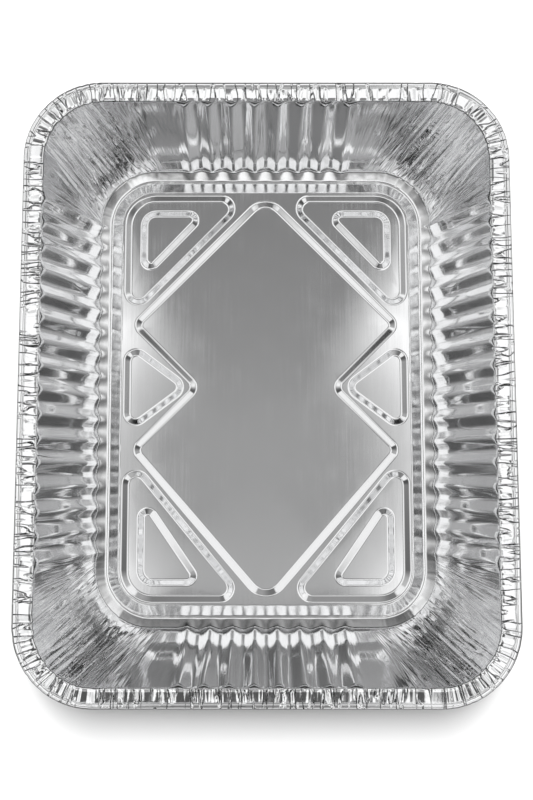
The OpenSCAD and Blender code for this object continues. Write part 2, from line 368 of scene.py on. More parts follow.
@dataclass(frozen=True)
class Walk:
    """The stations round the pan, worked out from where the flutes and corners lie.

    Every second station is kept on the wall; the flange and the rolled edge have them all.
    """

    sizes: PanSizes
    per_flute: int = 16
    per_corner: int = 128
    plain_step: float = 0.8

    @property
    def arc_length(self) -> float:
        """Length of a corner's arc at the base."""
        return self.sizes.base_r * math.pi / 2

    def flat(self, side: int) -> float:
        """Length of the straight part of a side at the base."""
        whole = self.sizes.base_l if side % 2 == 0 else self.sizes.base_w
        return whole - 2 * self.sizes.base_r

    def flute_count(self, side: int) -> int:
        """Number of flutes that fit on a side."""
        plain = self.sizes.side_shift if side % 2 == 0 else self.sizes.plain_w
        return int((self.flat(side) - 2 * plain) // self.sizes.flute_pitch)

    def flute_edge(self, side: int, end: int) -> float:
        """Where a side's flutes start (end -1) or stop (end 1), along the walk."""
        middle = {0: self.sizes.side_shift, 2: -self.sizes.side_shift}.get(side, 0.0)
        return middle + end * self.flute_count(side) * self.sizes.flute_pitch / 2

    def gap(self, side: int, end: int) -> float:
        """Length of the plain foil between a side's flutes and the corner at one end, at the base."""
        return self.flat(side) / 2 - end * self.flute_edge(side, end)

    def stations(self) -> list[Station]:
        """Return every station, walking counter-clockwise from the right side.

        Returns:
            The stations, each with its place on a circle as long as the walk.
        """
        stations = [station for side in range(4) for station in self._side(side)]
        placed = list(accumulate(map(self._step, stations), initial=0.0))
        circle = placed[-1] / math.tau
        return [replace(station, round_x=circle * math.cos(place / circle),
                        round_y=circle * math.sin(place / circle))
                for station, place in zip(stations, placed)]

    def _step(self, station: Station) -> float:
        """Return the length of the step that follows a station, measured round the opening."""
        if station.stretch is Stretch.FLUTES:
            return self.sizes.flute_pitch / self.per_flute
        if station.stretch is Stretch.ARC:
            return self.sizes.opening_r * math.pi / 2 / self.per_corner
        return self.plain_step

    def _side(self, side: int) -> Iterable[Station]:
        """Walk one side and the corner after it.

        Args:
            side: The side, 0 on the right.

        Yields:
            The stations in order.
        """
        steps = self.flute_count(side) * self.per_flute
        for i in range(steps + 1):
            edge = min(i, steps - i) * self.sizes.flute_pitch / self.per_flute
            if i < steps / 2:
                corner, u = (side + 3) % 4, 1.0 + (edge + self.gap(side, -1)) / self.arc_length
            else:
                corner, u = side, -(edge + self.gap(side, 1)) / self.arc_length
            yield Station(side, Stretch.FLUTES, i / steps, corner, u,
                          (i / self.per_flute) % 1.0, i // self.per_flute)
        yield from self._plain(side, Stretch.TO_CORNER)
        for i in range(self.per_corner + 1):
            yield Station(side, Stretch.ARC, i / self.per_corner, side, i / self.per_corner)
        yield from self._plain(side, Stretch.FROM_CORNER)

    def _plain(self, side: int, stretch: Stretch) -> Iterable[Station]:
        """Walk the plain foil before or after the corner that follows a side.

        Args:
            side: The side.
            stretch: Which of the two plain stretches.

        Yields:
            An odd number of stations, so that every second one can be left out.
        """
        before = stretch is Stretch.TO_CORNER
        along, end = (side, 1) if before else ((side + 1) % 4, -1)
        gap, edge = self.gap(along, end), end * self.flute_edge(along, end)
        rim = (self.sizes.opening_l if along % 2 == 0 else self.sizes.opening_w) / 2 - self.sizes.opening_r
        steps = 2 * max(1, round((rim - edge) / 2 / self.plain_step))
        for i in range(1, steps):
            share = i / steps
            past = -(1 - share) if before else share
            yield Station(side, stretch, share, side, (0 if before else 1) + past * gap / self.arc_length)


@dataclass
class FoilWall:
    """Foot, fluted wall, gathered corners, flange and rolled edge, lofted ring by ring.

    Lengths are in millimetres. Values named climb, crinkle and dull are what the finish goes by.
    """

    bm: Mesh
    sizes: PanSizes
    walk: Walk
    gathers: Gathers
    crimps: Crimps
    seed: int = 5
    inner_share: float = 0.7
    wall_marks: tuple[float, ...] = (1.5, 3.5, 7, 12, 19, 27, 35, 43, 50, 55)
    flange_marks: tuple[Span, ...] = ((2.0, 0.05), (4.0, 0.1), (6.0, 0.12))
    flange_strip: float = 0.3
    flange_dip: float = 0.1
    bead_marks: tuple[int, ...] = (134, 124, 108, 76, 54, 40, 12, -50, -140)
    bead_square: float = 3.0
    foot_flute: float = 0.85
    foot_flute_h: float = 12.0
    flute_fade: Span = (0.1, 1.4)
    flute_sizes: Span = (0.86, 1.0)
    flute_lean: float = 0.6
    flute_pivot: float = 0.3
    flute_end: float = 5.0
    flute_facets: float = 0.7
    gather_depth: float = 0.7
    gather_low: Span = (-0.5, 5.0)
    gather_high: Span = (4.0, -10.0)
    crimp_depth: float = 0.34
    crimp_limits: Span = (-2.4, 2.0)
    crimp_past: float = 10.0
    crimp_spare: float = 1.0
    corner_crimp: float = 1.2
    bead_crimp: float = 0.16
    bead_limit: float = -3.0
    climb_out: float = 0.3
    crinkled_within: float = 0.45
    wall_crinkle: float = 0.12
    flat_crinkle: float = 0.9
    stations: list[Station] = field(init=False)
    flutes: dict[tuple[int, int], Span] = field(init=False)

    def __post_init__(self) -> None:
        """Work out the stations and each flute's own size and lean."""
        chance = random.Random(self.seed)
        rows = [self.crimps.row(chance, self.walk.flat(side) / 2 + self.crimp_past) for side in range(4)]
        self.stations = [self._with_creases(station, rows) for station in self.walk.stations()]
        self.flutes = {}
        for station in self.stations:
            key = (station.side, station.flute_no)
            if key not in self.flutes:
                size = chance.uniform(*self.flute_sizes)
                self.flutes[key] = (size, chance.uniform(-self.flute_lean, self.flute_lean))

    def _with_creases(self, station: Station, rows: Sequence[Sequence[Crease]]) -> Station:
        """Let a station know the creases that come near it.

        Args:
            station: The station.
            rows: The crimps of each side.

        Returns:
            The station with its folds and, off the corners, its crimps.
        """
        folds = self.gathers.near(station)
        if station.stretch is Stretch.ARC:
            return replace(station, folds=folds)
        along = self._along(self.rim_ring(0, 0), station)
        crimps = tuple(crimp for crimp in rows[station.along_side] if crimp.reaches(along, self.crimp_spare))
        return replace(station, folds=folds, crimps=crimps)

    def base_ring(self, inset: float, z: float) -> Ring:
        """Return the line inset from the foot of the wall."""
        s = self.sizes
        return Ring(s.base_w / 2 - inset, s.base_l / 2 - inset, s.base_r - inset, z)

    def rim_ring(self, out: float, z: float) -> Ring:
        """Return the line that lies out from the opening."""
        s = self.sizes
        return Ring(s.opening_w / 2 + out, s.opening_l / 2 + out, s.opening_r + out, z)

    def wall_ring(self, z: float) -> Ring:
        """Return the wall's line at a height.

        Args:
            z: The height.

        Returns:
            The line, with its waves fading at the foot and at the rim.
        """
        s, rise = self.sizes, self.rise(z)
        above = between(self.foot_flute, 1.0, smooth(z, s.foot_h, s.foot_h + self.foot_flute_h))
        below = smooth(z, *(s.flange_z - fade for fade in self.flute_fade))
        low = smooth(z, *(s.foot_h + fade for fade in self.gather_low))
        high = smooth(z, *(s.flange_z + fade for fade in self.gather_high))
        return Ring(between(s.base_w, s.opening_w, rise) / 2, between(s.base_l, s.opening_l, rise) / 2,
                    between(s.base_r, s.opening_r, rise), z, flute=above * below, gather=low * high,
                    crinkle=0.6, dull=0.1)

    def rise(self, z: float) -> float:
        """Return the share of the wall's rise at a height."""
        return (z - self.sizes.foot_h) / (self.sizes.flange_z - self.sizes.foot_h)

    def wall_rings(self) -> list[Ring]:
        """Return the lines from the rib inside the foot up to the opening."""
        s = self.sizes
        inner = self.base_ring(s.foot_w + s.rise_w + s.rib_w * self.inner_share, s.rib_z)
        rib = self.base_ring(s.foot_w + s.rise_w, s.rib_z).but(crinkle=0.7, dull=1.0)
        channel = self.base_ring(s.foot_w, s.foil).but(crinkle=0.5, dull=0.8)
        foot = self.wall_ring(s.foot_h).but(gather=0.35, crinkle=0.2)
        wall = [self.wall_ring(s.foot_h + mark) for mark in self.wall_marks]
        low_rim = self.wall_ring(s.flange_z - self.flute_fade[1])
        opening = self.rim_ring(0, s.flange_z).but(gather=0.5, crimp=0.3, crinkle=0.8)
        crease = channel.rounded(rib, foot.but(flute=0.0), size=1.5, steps=3)
        sunk = min(ring.z for ring in crease) - s.foil
        return [
            inner,
            *rib.rounded(inner, channel, size=0.5, steps=2),
            *(ring.but(z=ring.z - sunk) for ring in crease),
            *foot.rounded(channel, wall[0], size=0.8, steps=3),
            *wall,
            low_rim,
            *opening.rounded(low_rim, self.flange_rings()[0], size=0.8, steps=3),
        ]

    def flange_rings(self) -> list[Ring]:
        """Return the lines across the flange, which dips a little in the middle."""
        s = self.sizes
        return [self.rim_ring(out, s.flange_z - dip).but(crimp=1.0, crinkle=1.0)
                for out, dip in (*self.flange_marks, (s.flange_w - self.flange_strip, self.flange_dip))]

    def edge_rings(self) -> list[Ring]:
        """Return the lines of the rolled edge, which is squarish on top and round below."""
        s = self.sizes
        bead_r = s.bead_d / 2
        start = self.rim_ring(s.flange_w, s.flange_z - self.flange_dip)
        rings = [start.but(crimp=0.6, bead=0.3, crinkle=1.0)]
        for degrees in self.bead_marks:
            across, up = math.cos(math.radians(degrees)), math.sin(math.radians(degrees))
            power = self.bead_square
            square = (abs(across) ** power + abs(up) ** power) ** (-1 / power)
            reach = bead_r * (square if degrees > 0 else 1.0)
            rings.append(self.rim_ring(s.flange_w + bead_r + reach * across, s.height - bead_r + reach * up)
                         .but(bead=1.0, crinkle=0.5))
        return rings

    def place(self, ring: Ring, station: Station) -> Vector:
        """Work out where a ring passes a station.

        Args:
            ring: The line round the pan.
            station: The place round it.

        Returns:
            The point in millimetres.
        """
        rise = min(max(self.rise(ring.z), 0.0), 1.0)
        push = slide = lift = 0.0
        if ring.gather:
            push = ring.gather * self.gather_depth * station.fold_height(rise)
        if ring.crimp or ring.bead:
            fold = self._flange_fold(ring, station)
            lift = ring.crimp * self.crimp_depth * max(self.crimp_limits[0], min(fold, self.crimp_limits[1]))
            push += ring.bead * self.bead_crimp * max(self.bead_limit, min(fold, 0.0))
        if station.stretch is Stretch.FLUTES:
            size, lean = self.flutes[station.side, station.flute_no]
            push += size * self.sizes.flute_depth / 2 * ring.flute * self._flute_wave(station.flute)
            slide = ring.flute * lean * (rise - self.flute_pivot) * math.sin(math.pi * station.flute)
        elif ring.flute and station.stretch is not Stretch.ARC:
            end = 1 if station.stretch is Stretch.TO_CORNER else -1
            gap = abs(self._along(ring, station) - self.walk.flute_edge(station.along_side, end))
            push -= ring.flute * self.sizes.flute_depth / 2 * max(0.0, 1.0 - gap / self.flute_end)
        return self._on_side(ring, station, push, slide, ring.z + lift)

    def _flute_wave(self, phase: float) -> float:
        """Return the share of its depth that a flute has at a phase: two flat facets, softly joined."""
        facets = 4 * min(phase, 1 - phase) - 1
        return self.flute_facets * facets - (1 - self.flute_facets) * math.cos(math.tau * phase)

    def _flange_fold(self, ring: Ring, station: Station) -> float:
        """Add up the creases at a station on the flange or the rolled edge.

        Args:
            ring: The line round the pan.
            station: The place round it.

        Returns:
            How high they stand there.
        """
        fold = self.corner_crimp * station.fold_height(1.0)
        if station.crimps:
            along = self._along(ring, station)
            out = (ring.half_w - self.sizes.opening_w / 2) / self.sizes.flange_w
            fold += sum(crimp.height_at(along, out) for crimp in station.crimps)
        return fold

    def _along(self, ring: Ring, station: Station) -> float:
        """Measure how far along its side a station off the corner arcs lies.

        Args:
            ring: The line round the pan.
            station: The place round it.

        Returns:
            The distance from the side's middle.
        """
        side, edge = station.along_side, self.walk.flute_edge
        if station.stretch is Stretch.FLUTES:
            return between(edge(side, -1), edge(side, 1), station.share)
        if station.stretch is Stretch.TO_CORNER:
            return between(edge(side, 1), ring.straight_end(side), station.share)
        return between(-ring.straight_end(side), edge(side, -1), station.share)

    def _on_side(self, ring: Ring, station: Station, push: float, slide: float, z: float) -> Vector:
        """Work out a point of a ring.

        Args:
            ring: The line round the pan.
            station: The place round it.
            push: How far the foil stands out there.
            slide: How far it is slid along the side.
            z: Its height.

        Returns:
            The point, turned to the station's side.
        """
        side = station.along_side
        if station.stretch is Stretch.ARC:
            angle = math.radians(QUARTER * station.share)
            reach = ring.radius + push
            x = ring.across(side) - ring.radius + reach * math.cos(angle)
            y = ring.straight_end(side) + reach * math.sin(angle)
        else:
            x = ring.across(side) + push
            y = self._along(ring, station) + slide
        turned = {0: (x, y), 1: (-y, x), 2: (-x, -y), 3: (y, -x)}[side]
        return Vector((*turned, z))

    def start(self) -> list[Vert]:
        """Draw the innermost line, which the base is filled from.

        Returns:
            The line's vertices in order.
        """
        for name in ("crinkle", "round_x", "round_y", "climb", "dull"):
            self.bm.verts.layers.float.new(name)
        coarse = self.stations[::2]
        loop = bmesh.ops.create_circle(self.bm, cap_ends=False, segments=len(coarse), radius=1.0)["verts"]
        self._lay(loop, coarse, self.wall_rings()[0])
        return loop

    def build(self, loop: Sequence[Vert]) -> None:
        """Loft the sheet from its innermost line to the end of the rolled edge.

        Args:
            loop: The vertices of the innermost line.
        """
        coarse = self.stations[::2]
        lower, upper = self.wall_rings(), self.flange_rings() + self.edge_rings()
        for ring in lower[1:]:
            loop = self._next_loop(loop)
            self._lay(loop, coarse, ring)
        loop = self._halved(loop)
        self._lay(loop, self.stations, lower[-1])
        for ring in upper:
            loop = self._next_loop(loop)
            self._lay(loop, self.stations, ring)
        log.info("wall: %d rings of %d, rim: %d rings of %d", len(lower), len(coarse),
                 len(upper), len(self.stations))

    def _next_loop(self, loop: Sequence[Vert]) -> list[Vert]:
        """Extrude a closed loop of vertices and return the new loop in the same order."""
        added = set(only(Vert, bmesh.ops.extrude_edge_only(self.bm, edges=self.edges_of(loop))["geom"]))
        return [next(edge.other_vert(vert) for edge in vert.link_edges if edge.other_vert(vert) in added)
                for vert in loop]

    def _halved(self, loop: Sequence[Vert]) -> list[Vert]:
        """Split every edge of a closed loop in two and return the loop with the added vertices."""
        return [vert for start, edge in zip(loop, self.edges_of(loop))
                for vert in (start, bmesh.utils.edge_split(edge, start, 0.5)[1])]

    def _lay(self, loop: Sequence[Vert], stations: Sequence[Station], ring: Ring) -> None:
        """Move a loop of vertices onto a ring, and note there what the finish goes by.

        Args:
            loop: The vertices in order.
            stations: Their stations.
            ring: The line to lie on.
        """
        layers = self.bm.verts.layers.float
        out = max(ring.half_w - self.sizes.opening_w / 2, 0.0) / self.sizes.flange_w
        climb = min(self.rise(ring.z), 1.0) + self.climb_out * out
        least = self.flat_crinkle if climb > 1 or climb < 0 else self.wall_crinkle
        for vert, station in zip(loop, stations):
            vert.co = self.place(ring, station)
            corner = smooth(abs(station.corner_u - 0.5), 0.5 + self.gathers.reach, self.crinkled_within)
            for name, value in (("crinkle", ring.crinkle * max(corner, least)), ("climb", climb),
                                ("round_x", station.round_x), ("round_y", station.round_y),
                                ("dull", ring.dull)):
                vert[layers[name]] = value

    @staticmethod
    def edges_of(loop: Sequence[Vert]) -> list[Edge]:
        """Return the edges that join a closed loop of vertices, in order."""
        return [next(edge for edge in vert.link_edges if edge.other_vert(vert) is following)
                for vert, following in zip(loop, [*loop[1:], loop[0]])]


@dataclass(frozen=True)
class Bend:
    """One corner of a panel's outline: where its straight sides would meet, and its radius."""

    x: float
    y: float
    radius: float


class Arc(NamedTuple):
    """One bend as drawn."""

    start: Vert
    end: Vert
    edges: list[Edge]


@dataclass(frozen=True)
class Panel:
    """One panel of the base, by the bends of its outline."""

    bends: tuple[Bend, ...]
    steps: int = 9

    def mirrored(self, flip_x: bool, flip_y: bool) -> "Panel":
        """Return the panel on the other side or at the other end."""
        sx, sy = (-1 if flip_x else 1), (-1 if flip_y else 1)
        return Panel(tuple(Bend(sx * bend.x, sy * bend.y, bend.radius) for bend in self.bends), self.steps)

    def face(self, bm: Mesh, z: float) -> Face:
        """Make the panel's flat face with its bends rounded.

        Args:
            bm: The mesh to build in.
            z: The height to make it at.

        Returns:
            The face, seen from above.
        """
        arcs = [self._arc(bm, i, z) for i in range(len(self.bends))]
        edges = [edge for arc in arcs for edge in arc.edges]
        for arc, following in zip(arcs, [*arcs[1:], arcs[0]]):
            edges.extend(bmesh.ops.contextual_create(bm, geom=[arc.end, following.start])["edges"])
        face = bmesh.ops.contextual_create(bm, geom=edges)["faces"][0]
        face.normal_update()
        if face.normal.z < 0:
            face.normal_flip()
        return face

    def _arc(self, bm: Mesh, i: int, z: float) -> Arc:
        """Spin one bend's arc.

        Args:
            bm: The mesh to build in.
            i: Which bend.
            z: The height to draw it at.

        Returns:
            The arc, with its edges in order.
        """
        radius = self.bends[i].radius
        last, here, following = (Vector((bend.x, bend.y, z)) for bend in (
            self.bends[i - 1], self.bends[i], self.bends[(i + 1) % len(self.bends)]))
        back, ahead = (last - here).normalized(), (following - here).normalized()
        half = back.angle(ahead) / 2
        turn = math.copysign(math.pi - 2 * half, back.y * ahead.x - back.x * ahead.y)
        start = bmesh.ops.create_vert(bm, co=here + back * (radius / math.tan(half)))["vert"][0]
        centre = here + (back + ahead).normalized() * (radius / math.sin(half))
        spun = bmesh.ops.spin(bm, geom=[start], cent=centre, axis=(0, 0, 1), dvec=(0, 0, 0),
                              angle=turn, steps=self.steps, use_merge=False)
        end = only(Vert, spun["geom_last"])[0]
        drawn = []
        vert, came = start, None
        while vert is not end:
            came = next(edge for edge in vert.link_edges if edge is not came)
            drawn.append(came)
            vert = came.other_vert(vert)
        return Arc(start, end, drawn)


def tangent(centre_a: Vector, centre_b: Vector, radius_a: float, radius_b: float) -> Line:
    """Find the line that touches two circles on the right of the way from a to b.

    Args:
        centre_a: Middle of the first circle.
        centre_b: Middle of the second circle.
        radius_a: Radius of the first circle.
        radius_b: Radius of the second circle.

    Returns:
        A point on the line and its direction.
    """
    way = centre_b - centre_a
    right = Vector((way.y, -way.x)).normalized()
    lean = math.asin((radius_a - radius_b) / way.length)
    normal = right * math.cos(lean) + way.normalized() * math.sin(lean)
    return centre_a + normal * radius_a, Vector((-normal.y, normal.x))


def crossing(line_a: Line, line_b: Line) -> Vector:
    """Return the point where two lines cross."""
    (p, d), (q, e) = line_a, line_b
    gap = q - p
    return p + d * ((gap.x * e.y - gap.y * e.x) / (d.x * e.y - d.y * e.x))


def wrapped(*circles: tuple[float, float, float]) -> Panel:
    """Wrap a panel's outline round circles.

    Args:
        circles: Each circle's middle and radius, counter-clockwise.

    Returns:
        The panel, with one bend for each circle.
    """
    middles = [Vector(circle[:2]) for circle in circles]
    lines = [tangent(middles[i - 1], middles[i], circles[i - 1][2], circles[i][2])
             for i in range(len(circles))]
    return Panel(tuple(Bend(*crossing(before, after), circle[2])
                       for circle, before, after in zip(circles, lines, [*lines[1:], lines[0]])))


@dataclass
class PressedBase:
    """The middle of the base: ribs, recessed panels and raised centres."""

    bm: Mesh
    sizes: PanSizes
    corner_end_x: float = 18.0
    corner_end_y: float = 49.0
    corner_end_r: float = 9.0
    centre_r: float = 6.5
    centre_gap: float = 22.0
    side_l: float = 47.0
    side_r: float = 8.0
    side_reach: float = 37.0
    side_in: float = 0.3
    waist_l: float = 75.0
    middle_w: float = 158.0
    middle_reach: float = 119.0
    middle_end_r: float = 14.0
    middle_side_r: float = 7.5
    notch_r: float = 3.0
    round_share: float = 0.26
    flat_strip: float = 0.25
    cell: float = 9.0
    cell_shift: float = 0.013
    warp: float = 0.1
    warp_span: float = 60.0
    warp_slice: float = 0.7
    warp_fade: Span = (-0.3, 8.0)
    warp_clear: float = 0.2

    @property
    def half_w(self) -> float:
        """Half the width over the panels' outer line."""
        return self.sizes.base_w / 2 - self.sizes.panel_inset

    @property
    def half_l(self) -> float:
        """Half the length over the panels' outer line."""
        return self.sizes.base_l / 2 - self.sizes.panel_inset

    def corner_panel(self, shift: float) -> tuple[Panel, Panel]:
        """Lay out one corner panel and its raised centre, for the right far corner.

        Args:
            shift: How far the side panels' middle lies towards this end.

        Returns:
            The panel's outline and its centre's.
        """
        hw, hl = self.half_w, self.half_l
        big = self.sizes.base_r - self.sizes.panel_inset
        end_y = shift + self.corner_end_y
        edge = self.sizes.bevel_w + self.sizes.floor_w
        r, c = self.corner_end_r, self.centre_r
        outline = wrapped((hw - big, hl - big, big), (self.corner_end_x + r, hl - r, r),
                          (hw - r, end_y + r, r))
        centre = wrapped((hw - big, hl - big, big - edge),
                         (self.corner_end_x + self.centre_gap + c, hl - edge - c, c),
                         (hw - edge - c, end_y + self.centre_gap + c, c))
        return outline, centre

    def side_panel(self) -> Panel:
        """Return the right side panel."""
        hw, r, shift = self.half_w - self.side_in, self.side_r, self.sizes.side_shift
        return wrapped((hw - r, shift + self.side_l / 2 - r, r),
                       (self.half_w - self.side_reach + r, shift, r),
                       (hw - r, shift - self.side_l / 2 + r, r))

    def middle_panel(self) -> Panel:
        """Return the middle panel, which narrows between the side panels."""
        shift, r, end_r = self.sizes.side_shift, self.middle_side_r, self.middle_end_r
        side_x = self.middle_w / 2 - r
        far_y, near_y = shift + self.waist_l / 2, shift - self.waist_l / 2
        tip_y = self.middle_reach - end_r
        far_side, near_side = Vector((side_x, far_y)), Vector((side_x, near_y))
        upper = tangent(far_side, Vector((0, tip_y)), r, end_r)
        lower = tangent(Vector((0, -tip_y)), near_side, end_r, r)
        far_cut = tangent(Vector((0, far_y - side_x)), far_side, r, r)
        near_cut = tangent(near_side, Vector((0, near_y + side_x)), r, r)
        axis = (Vector((0, 0)), Vector((0, 1)))
        bends = [Bend(*crossing(*lines), radius) for *lines, radius in (
            (axis, lower, end_r),
            (lower, near_cut, r),
            (far_cut, near_cut, self.notch_r),
            (far_cut, upper, r),
            (upper, axis, end_r),
        )]
        left = [Bend(-bend.x, bend.y, bend.radius) for bend in reversed(bends[1:-1])]
        return Panel(tuple(bends + left))

    def build(self, outer: Sequence[Edge]) -> None:
        """Fill the base inside the wall and press its panels.

        Args:
            outer: The edges of the line that the base is filled from.
        """
        s = self.sizes
        drop = s.rib_z - s.foil
        panels = []
        for flip_y in (False, True):
            pair = self.corner_panel(-s.side_shift if flip_y else s.side_shift)
            panels.extend([panel.mirrored(flip_x, flip_y) for panel in pair] for flip_x in (False, True))
        panels.extend((self.side_panel().mirrored(flip_x, False), None) for flip_x in (False, True))
        panels.append((self.middle_panel(), None))
        pressed = [(panel.face(self.bm, s.rib_z), centre) for panel, centre in panels]
        ribs = self._fill([*outer, *(edge for face, _ in pressed for edge in face.edges)])
        log.info("base: %d panels, %d rib faces", len(panels), len(ribs))
        floors = []
        for face, centre in pressed:
            self._press(face, -drop)
            floors.extend(self._raise_centre(face, centre, drop) if centre else [face])
        self._cut_cells(floors)
        self._warp()

    def _fill(self, edges: list[Edge]) -> list[Face]:
        """Fill the space between closed lines and return the new faces."""
        filled = bmesh.ops.triangle_fill(self.bm, use_beauty=True, edges=edges, normal=(0, 0, 1))
        return only(Face, filled["geom"])

    def _bevel_share(self, t: float) -> float:
        """Return the share of a bevel's height reached at a share of its width."""
        share = self.round_share
        if t > 0.5:
            return 1 - self._bevel_share(1 - t)
        return t * t / (2 * share * (1 - share)) if t < share else (t - share / 2) / (1 - share)

    def _press(self, face: Face, rise: float) -> None:
        """Press a face to another height with a bevel that is rounded at its top and foot.

        Args:
            face: The face to press, which becomes the smaller floor.
            rise: How far the face goes up, or down if negative.
        """
        share = self.round_share
        marks = (0.0, share / 3, share * 2 / 3, share, 1 - share, 1 - share * 2 / 3, 1 - share / 3, 1.0)
        steps = [((here - last) * self.sizes.bevel_w,
                  (self._bevel_share(here) - self._bevel_share(last)) * rise)
                 for last, here in zip(marks, marks[1:])]
        for across, up in [(self.flat_strip, 0.0), *steps, (self.flat_strip, 0.0)]:
            bmesh.ops.inset_region(self.bm, faces=[face], thickness=across, depth=up, use_even_offset=True)

    def _raise_centre(self, floor: Face, centre: Panel, drop: float) -> list[Face]:
        """Set a raised centre in a panel's floor.

        Args:
            floor: The panel's floor, which is filled anew round the centre.
            centre: The raised centre's outline.
            drop: How far the floor lies below the centre's top.

        Returns:
            The floor's new faces and the centre's top.
        """
        border = list(floor.edges)
        bmesh.ops.delete(self.bm, geom=[floor], context="FACES_ONLY")
        top = centre.face(self.bm, self.sizes.foil)
        filled = self._fill([*border, *top.edges])
        self._press(top, drop)
        return [*filled, top]

    def _cut_cells(self, floors: Sequence[Face]) -> None:
        """Cut the flat floors into cells that can be bowed.

        Args:
            floors: The faces to cut.
        """
        cut = list(floors)
        for axis, half in enumerate((self.half_w, self.half_l)):
            count = int(2 * half // self.cell)
            for i in range(1, count):
                point, way = Vector((0, 0, 0)), Vector((0, 0, 0))
                point[axis] = -half + 2 * half * i / count + self.cell_shift
                way[axis] = 1.0
                geom = dict.fromkeys(item for face in cut for item in (face, *face.edges, *face.verts))
                done = bmesh.ops.bisect_plane(self.bm, geom=list(geom), dist=TINY,
                                              plane_co=point, plane_no=way)
                cut = only(Face, done["geom"])

    def _warp(self) -> None:
        """Bow the base a little, as thin foil is, with no part below the table."""
        clear = self.warp_clear
        for vert in self.bm.verts:
            x, y, z = vert.co
            inside = min(smooth(self.half_w - abs(x), *self.warp_fade),
                         smooth(self.half_l - abs(y), *self.warp_fade))
            inside *= smooth(z, self.sizes.rib_z - clear, self.sizes.foil + clear)
            wave = noise.noise(Vector((x / self.warp_span, y / self.warp_span, self.warp_slice)))
            vert.co.z += self.warp * inside * (0.5 + 0.5 * wave)


@dataclass(frozen=True)
class Mottle:
    """The settings of one noise pattern."""

    scale: float
    detail: float
    distortion: float = 0.0


class MixSocket(IntEnum):
    """The colour sockets of a Mix node, by their numbers, because their names are not their own."""

    FIRST = 6
    SECOND = 7
    RESULT = 2


@dataclass(frozen=True)
class Nodes:
    """Adds nodes to the tree of a material or of the world, and joins them up."""

    tree: bpy.types.NodeTree

    @classmethod
    def of(cls, owner: Union[bpy.types.Material, bpy.types.World]) -> "Nodes":
        """Return the nodes of a material or world."""
        owner.use_nodes = True
        return cls(owner.node_tree)

    def finish(self, name: str, inputs: "Inputs") -> None:
        """Fill in the node, already there, that gives the whole its look."""
        self.fill(self.tree.nodes[name], inputs)

    def fill(self, node: bpy.types.Node, inputs: "Inputs") -> None:
        """Set a node's inputs to numbers and colours, or join other nodes' outputs to them."""
        for key, value in inputs.items():
            if isinstance(value, Signal):
                self.tree.links.new(value.socket, node.inputs[key])
            else:
                node.inputs[key].default_value = value

    def add(self, kind: str, inputs: "Inputs", output: Union[str, int], **settings: str) -> "Signal":
        """Add a node.

        Args:
            kind: The node's type, less its prefix.
            inputs: What goes into it, by each input's name or number.
            output: The name or number of the output that is wanted.
            settings: The node's own settings.

        Returns:
            The wanted output.
        """
        node = self.tree.nodes.new("ShaderNode" + kind)
        for name, value in settings.items():
            setattr(node, name, value)
        self.fill(node, inputs)
        return Signal(self, node.outputs[output])

    def maths(self, operation: str, *values: "Value") -> "Signal":
        """Return the result of a maths node."""
        return self.add("Math", dict(enumerate(values)), "Value", operation=operation)

    def noise(self, place: "Signal", look: Mottle) -> "Signal":
        """Return the value of a noise pattern at a place."""
        return self.add("TexNoise", {"Vector": place, "Scale": look.scale, "Detail": look.detail,
                                     "Distortion": look.distortion}, "Fac")

    def attribute(self, name: str) -> "Signal":
        """Return the value of one of the mesh's own attributes."""
        return self.add("Attribute", {}, "Fac", attribute_name=name)

    def eased(self, value: "Signal", low: float, high: float) -> "Signal":
        """Return a value eased from 0 at low to 1 at high."""
        return self.add("MapRange", {"Value": value, "From Min": low, "From Max": high}, "Result",
                        interpolation_type="SMOOTHSTEP")

    def mix(self, factor: "Signal", a: "Value", b: "Value") -> "Signal":
        """Return a mix of two colours."""
        return self.add("Mix", {"Factor": factor, MixSocket.FIRST: a, MixSocket.SECOND: b},
                        MixSocket.RESULT, data_type="RGBA")

    def camera_ray(self) -> "Signal":
        """Return 1 where the camera sees a thing straight, and 0 in light and reflections."""
        return self.add("LightPath", {}, "Is Camera Ray")


@dataclass(frozen=True)
class Signal:
    """A node's output, which can be reckoned with like a number."""

    nodes: Nodes
    socket: bpy.types.NodeSocket

    def __add__(self, other: "Value") -> "Signal":
        """Return the sum."""
        return self.nodes.maths("ADD", self, other)

    def __sub__(self, other: "Value") -> "Signal":
        """Return what is left when another value is taken away."""
        return self.nodes.maths("SUBTRACT", self, other)

    def __rsub__(self, other: "Value") -> "Signal":
        """Return what is left of another value when this one is taken away."""
        return self.nodes.maths("SUBTRACT", other, self)

    def __mul__(self, other: "Value") -> "Signal":
        """Return the product."""
        return self.nodes.maths("MULTIPLY", self, other)

    def __truediv__(self, other: "Value") -> "Signal":
        """Return the quotient."""
        return self.nodes.maths("DIVIDE", self, other)

    def __abs__(self) -> "Signal":
        """Return the value without its sign."""
        return self.nodes.maths("ABSOLUTE", self)


Value = Union[float, Colour, Signal]
Inputs = Mapping[Union[str, int], Value]


